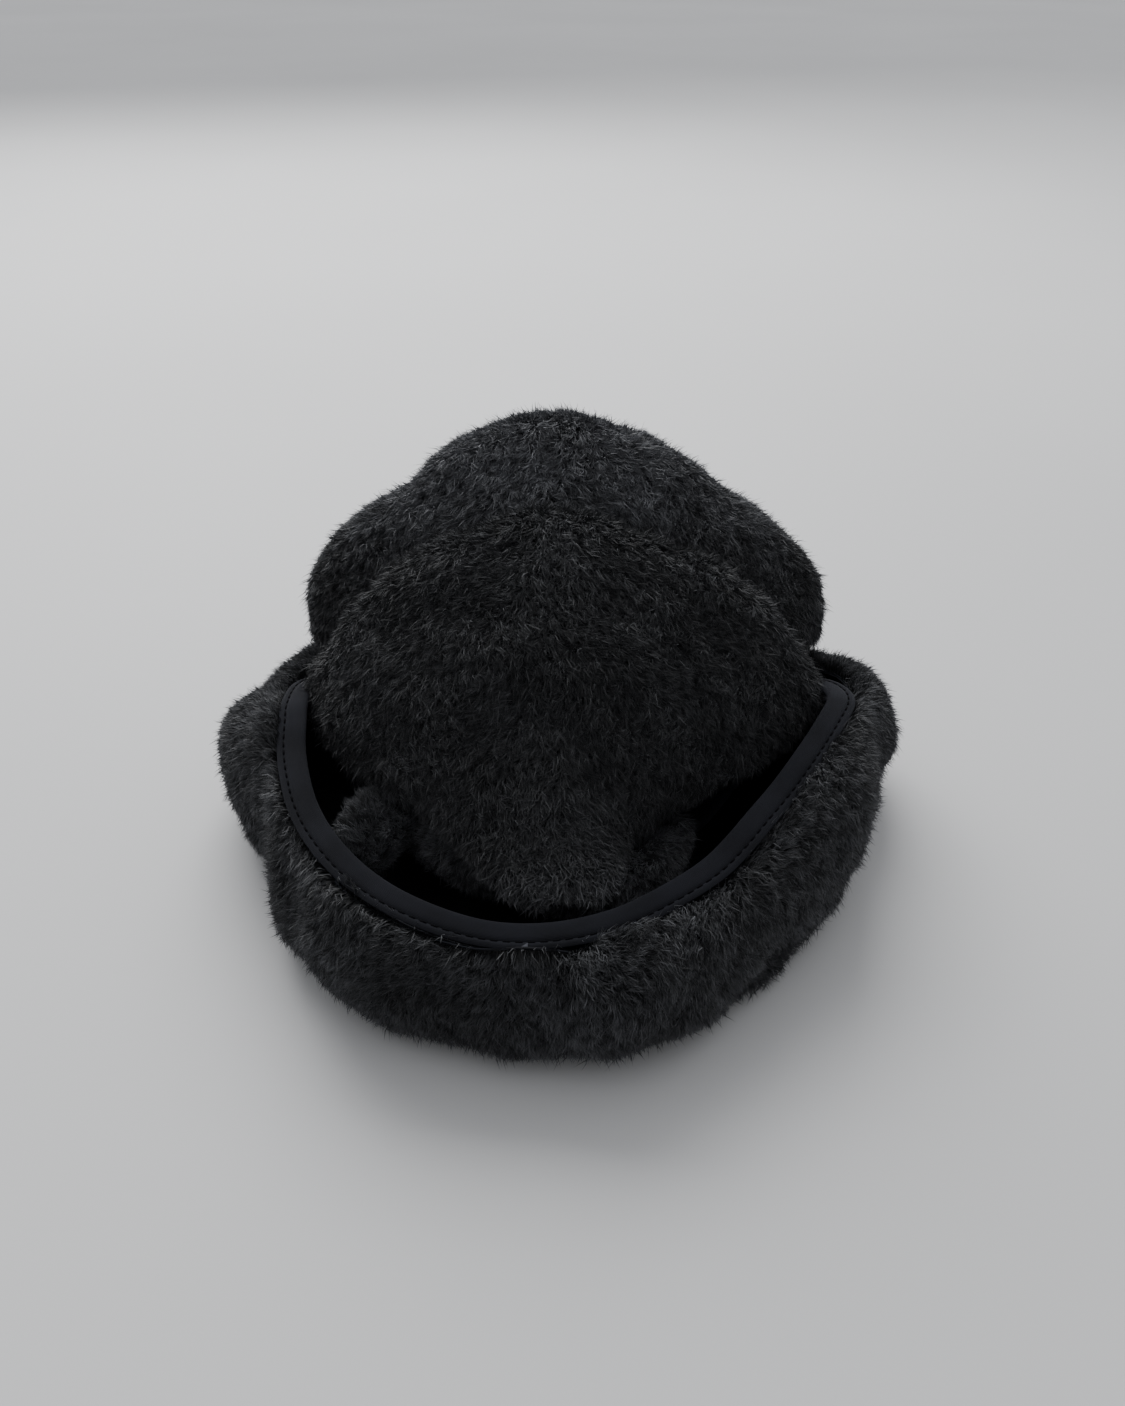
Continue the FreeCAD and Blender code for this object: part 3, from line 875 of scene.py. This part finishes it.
def build_shade_curtain():
    """Loose front edge of the crown lining, hanging from the brow: nearly to the ground in the middle, a dark
    sheet that stands for the shade inside the face opening and hides the floor there.
    """
    tops = between(CURTAIN, np.linspace(0, len(CURTAIN) - 1, 220))
    down = np.linspace(0, 1, 40)[None, :, None]
    side = smooth_step((np.abs(tops[:, 0]) - 50) / 34)
    feet = tops * [1, 1, 0] + side[:, None] * [0, 0, CURTAIN_RISE] + [0, 0, CURTAIN_FOOT]
    grid = tops[:, None] * (1 - down) + feet[:, None] * down
    out = unit(np.cross(np.gradient(tops, axis=0), [0, 0, 1]))[:, None]
    swing = waves(grid * [1, 1, 0.35], 24.0, 61) * 2.2 * smooth_step(down[..., 0] * 2)
    grid = grid + out * (swing + 3.0 * np.sin(down[..., 0] * math.pi))[..., None]
    # dark sheet put where the opening holds only shade
    curtain = cloth("crown_lining_front_shade_sheet", grid, grid - out * LINING, -1)
    finish_piece(curtain, LINING_MATERIAL, "crown")


# ---- neck ---------------------------------------------------------------------
def neck_grid(first, last, inset, turns):
    positions = np.linspace(first, last, 200)
    grid = grid_of(neck_point, positions, turns, inset)
    normal = -normals_of(grid)
    wobble = waves(grid, 58.0, 31) * 2.4 + waves(grid, 26.0, 32) * 0.9
    room = np.clip(grid[..., 2] / 12.0, 0, 1)
    return grid + normal * (wobble * room)[..., None], normal


def clear_of_binding(tips):
    """True for strands that don't lie over the binding round the face opening."""
    x, y = tips[:, 0], NECK_CENTRE_Y - tips[:, 1]
    bearing = np.degrees(np.arctan2(x, y))
    edge = np.interp(bearing, NECK[:, 0], NECK[:, 1])
    return (np.abs(bearing) > 84) | (np.hypot(x, y) > edge + 0.4) | (tips[:, 2] < 30)


def neck_nap(grid):
    """The pile of the neck hangs down from the edge, in gentle waves."""
    return np.stack([waves(grid, 60.0, 33) * 0.5, np.full(grid.shape[:2], 1.0)], axis=-1)


def build_neck():
    spans = (("front", SEAM_RIGHT, SEAM_LEFT, 0.29), ("back", SEAM_LEFT, SEAM_RIGHT + NAPE, 0.33))
    for word, first, last, length in spans:
        grid, normal = neck_grid(first + PANEL_GAP, last - PANEL_GAP, PILE_HEIGHT, np.linspace(0, 176, 60))
        backing = cloth(f"neck_backing_{word}", grid, grid - normal * BACKING, -1)
        finish_piece(backing, BACKING_MATERIAL, "neck")
        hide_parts(f"neck_panel_{word}")
        strands = pile(f"neck_pile_{word}", grid, -1, neck_nap, "neck", 140 + first, lift=NECK_LIFT,
                       keep=clear_of_binding)
        lining_grid, normal = neck_grid(first + 0.15, last - 0.15, LINING_DEPTH, np.linspace(15, 150, 40))
        lining = cloth(f"neck_lining_cloth_{word}", lining_grid, lining_grid - normal * LINING, -1)
        finish_piece(lining, LINING_MATERIAL, "neck")
        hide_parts(f"neck_lining_{word}")


def build_seams():
    """Folded allowances and stitches of the two seams behind the ears."""
    turns = np.linspace(6, 172, 90)
    depth = LINING_DEPTH + LINING + 0.3
    inner_depth = depth + SIDE_SEAM
    lines = []
    for word, seam in (("right", SEAM_RIGHT), ("left", SEAM_LEFT)):
        spots = np.linspace(seam - 0.1, seam + 0.1, 9)
        top = grid_of(neck_point, spots, turns, depth)
        bottom = grid_of(neck_point, spots, turns, inner_depth)
        fold = cloth(f"side_seam_fold_{word}", top, bottom, -1)
        finish_piece(fold, BACKING_MATERIAL, "neck")
        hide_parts(f"side_seam_allowance_{word}")
        lines.append(neck_point(np.full(len(turns), float(seam)), turns, inner_depth + THREAD))
    thread = stitches("side_seam_stitches", lines, "neck")
    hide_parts("side_seam_thread")


def build_binding():
    """Folded stretch binding round the chin, with its row of stitches."""
    positions = np.arange(SEAM_RIGHT + 0.1, SEAM_LEFT, 0.39)
    angle, edge_radius, edge_z, _ = between(NECK_ROUND, positions).T
    visible = on_ring(angle, edge_radius - BINDING_INSIDE, edge_z - BINDING_BELOW)
    route = np.vstack([BINDING_END_RIGHT, visible, BINDING_END_LEFT])
    path = between(route, np.linspace(0, len(route) - 1, 460))
    path[:, 2] += waves(path, 38.0, 51) * 0.35
    band = sweep("chin_binding_band", path, BINDING_SECTION)
    finish_piece(band, BINDING_MATERIAL, "neck")
    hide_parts("face_binding_lower")
    line = offset_path(path, STITCH_OUTWARDS, STITCH_UP)
    thread = stitches("chin_binding_stitches", [line], "neck")
    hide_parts("binding_stitch_lower")


def opening_point(bearing, margin):
    """Edge of the opening of the turned-in hem, seen from its centre."""
    sine, cosine = np.sin(bearing), np.cos(bearing)
    power = 2 / OPENING_SQUARENESS
    x = (OPENING_HALF_WIDTH + margin) * np.sign(sine) * np.abs(sine) ** power
    y = OPENING_CENTRE_Y - (OPENING_HALF_DEPTH + margin) * np.sign(cosine) * np.abs(cosine) ** power
    return np.stack([x, y, np.zeros_like(x)], axis=-1)


def build_hem():
    """Lower edge of the neck, turned in and lying on the ground, joined at the nape."""
    angle, _, _, outer = between(NECK_ROUND, np.linspace(0, NAPE, 500)).T
    outside = on_ring(angle, outer - HEM_INSET - HEM_OVERLAP, np.zeros(len(angle)))
    inside = opening_point(np.radians(angle), 0.0)
    across = np.linspace(0, 1, 60)[None, :, None]
    grid = outside[:, None] * (1 - across) + inside[:, None] * across
    ripple = (0.5 + 0.5 * waves(grid, 26.0, 71)).clip(0, 1) * 1.3 * np.sin(across[..., 0] * math.pi)
    climb = HEM_CLIMB * (1 - smooth_step(across[..., 0] * 10))
    grid[..., 2] = HEM_LIES + ripple + climb
    facing = cloth("hem_facing_cloth", grid, grid - [0, 0, LINING], -1)
    finish_piece(facing, LINING_MATERIAL, "neck")
    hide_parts("hem_facing")
    bearing = np.radians(np.linspace(-180, 180, 1500))
    line = opening_point(bearing, HEM_SEAM) + [0, 0, HEM_STITCH_Z]
    thread = stitches("hem_stitches", [line], "neck")
    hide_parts("hem_stitch")


def build_label():
    """Blank ribbon label hanging on the nape lining."""
    low, high = (np.array(corner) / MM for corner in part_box("care_label"))
    x, z = np.meshgrid(np.linspace(low[0], high[0], 40), np.linspace(low[2], high[2], 26), indexing="ij")
    hang = (high[2] - z) / (high[2] - low[2])
    y = low[1] + 0.2 - 1.6 * hang**2 + 0.5 * np.sin((x - low[0]) / 5.0) * hang
    grid = np.stack([x, y, z], axis=-1)
    ribbon = cloth("care_label_ribbon", grid, grid + [0, 0.3, 0])
    finish_piece(ribbon, LABEL_MATERIAL, "neck")
    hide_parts("care_label")
    across = np.linspace(low[0] + 0.4, high[0] - 0.4, 50)
    row = np.stack([across, np.full(50, low[1] - 0.2), np.full(50, high[2] - 2.4)], axis=1)
    thread = stitches("care_label_stitches", [row], "neck")
    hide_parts("care_label_stitch")


def build_nape():
    """Fleece folded between the crown and the neck, from behind one ear to the other."""
    rim_rows = np.linspace(0, NAPE_RIM_ROWS, 60)
    right = crown_point(rim_rows, np.full(60, 90.0), 0)
    left = crown_point(rim_rows, np.full(60, -90.0), 0)
    rim = np.concatenate([left[::-1], right])
    rim_bearing = np.degrees(np.arctan2(rim[:, 0], rim[:, 1] - NECK_CENTRE_Y))
    rim_radius = np.hypot(rim[:, 0], rim[:, 1] - NECK_CENTRE_Y)
    position = np.linspace(SEAM_LEFT + 0.15, SEAM_RIGHT + NAPE - 0.15, 260)
    angle, edge_radius, edge_z, _ = between(NECK_ROUND, position).T
    rim_here = np.interp(180 - angle, rim_bearing, rim_radius)
    up = np.linspace(0, 1, 34)[None, :]
    share = smooth_step(up)
    low, high = edge_radius[:, None] - NAPE_INSIDE[0], rim_here[:, None] - NAPE_INSIDE[1]
    radius = low * (1 - share) + high * share
    radius -= NAPE_HOLLOW * np.sin(up * math.pi)
    z = (edge_z[:, None] - NAPE_BELOW) * (1 - up) + NAPE_TOP * up
    grid = on_ring(angle[:, None] * np.ones_like(up), radius, z)
    normal = -normals_of(grid)
    middle = (130, 17)
    outwards = grid[middle] - [0, NECK_CENTRE_Y, grid[middle][2]]
    if (normal[middle] * outwards).sum() < 0:
        normal = -normal
    backing = cloth("nape_fold_backing", grid, grid - normal * BACKING, -1)
    backing.data.materials.append(BACKING_MATERIAL)

    def nap(grid):
        return np.stack([waves(grid, 40.0, 81) * 0.4, np.full(grid.shape[:2], -1.0)], axis=-1)

    strands = pile("nape_fold_pile", grid, -1, nap, None, 180, length=FOLDED_PILE_LENGTH)
    for piece in [backing] + strands:
        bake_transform(piece)


# ---- set ------------------------------------------------------------------------
def build_floor():
    bpy.ops.mesh.primitive_plane_add(size=FLOOR_SIZE, location=(0, 4.0, 0))
    floor = bpy.context.object
    floor.name = "floor"
    floor.data.materials.append(floor_material())


def build_sky():
    """Studio light from all round, stronger from behind the object."""
    world = bpy.data.worlds.new("studio")
    bpy.context.scene.world = world
    world.use_nodes = True
    tree = world.node_tree
    direction = tree.nodes.new("ShaderNodeTexCoord").outputs["Generated"]
    parts = tree.nodes.new("ShaderNodeSeparateXYZ")
    tree.links.new(direction, parts.inputs["Vector"])
    backwards = tree.nodes.new("ShaderNodeMapRange")
    backwards.inputs["From Min"].default_value = -1.0
    backwards.inputs["To Min"].default_value = WORLD_FRONT
    backwards.inputs["To Max"].default_value = WORLD_BACK
    tree.links.new(parts.outputs["Y"], backwards.inputs["Value"])
    background = tree.nodes["Background"]
    background.inputs["Color"].default_value = (0.96, 0.97, 1.0, 1)
    tree.links.new(backwards.outputs["Result"], background.inputs["Strength"])


def build_softbox():
    lamp = bpy.data.lights.new("softbox", "AREA")
    lamp.shape = "RECTANGLE"
    lamp.size, lamp.size_y = SOFTBOX_SIZE
    lamp.energy = SOFTBOX_WATTS
    softbox = bpy.data.objects.new("softbox", lamp)
    softbox.location = SOFTBOX_PLACE
    softbox.rotation_euler = [math.radians(turn) for turn in SOFTBOX_TURN]
    bpy.context.scene.collection.objects.link(softbox)


def build_camera():
    camera_data = bpy.data.cameras.new("camera")
    camera_data.lens = CAMERA_LENS
    camera_data.sensor_width = 36.0
    camera_data.clip_start = 0.01
    camera = bpy.data.objects.new("camera", camera_data)
    camera.location = CAMERA_PLACE
    camera.rotation_euler = [math.radians(turn) for turn in CAMERA_TURN]
    bpy.context.scene.collection.objects.link(camera)
    bpy.context.scene.camera = camera


build_crown()
build_brow()
build_neck()
build_seams()
build_binding()
build_hem()
build_label()
build_nape()
build_floor()
build_sky()
build_softbox()
build_camera()
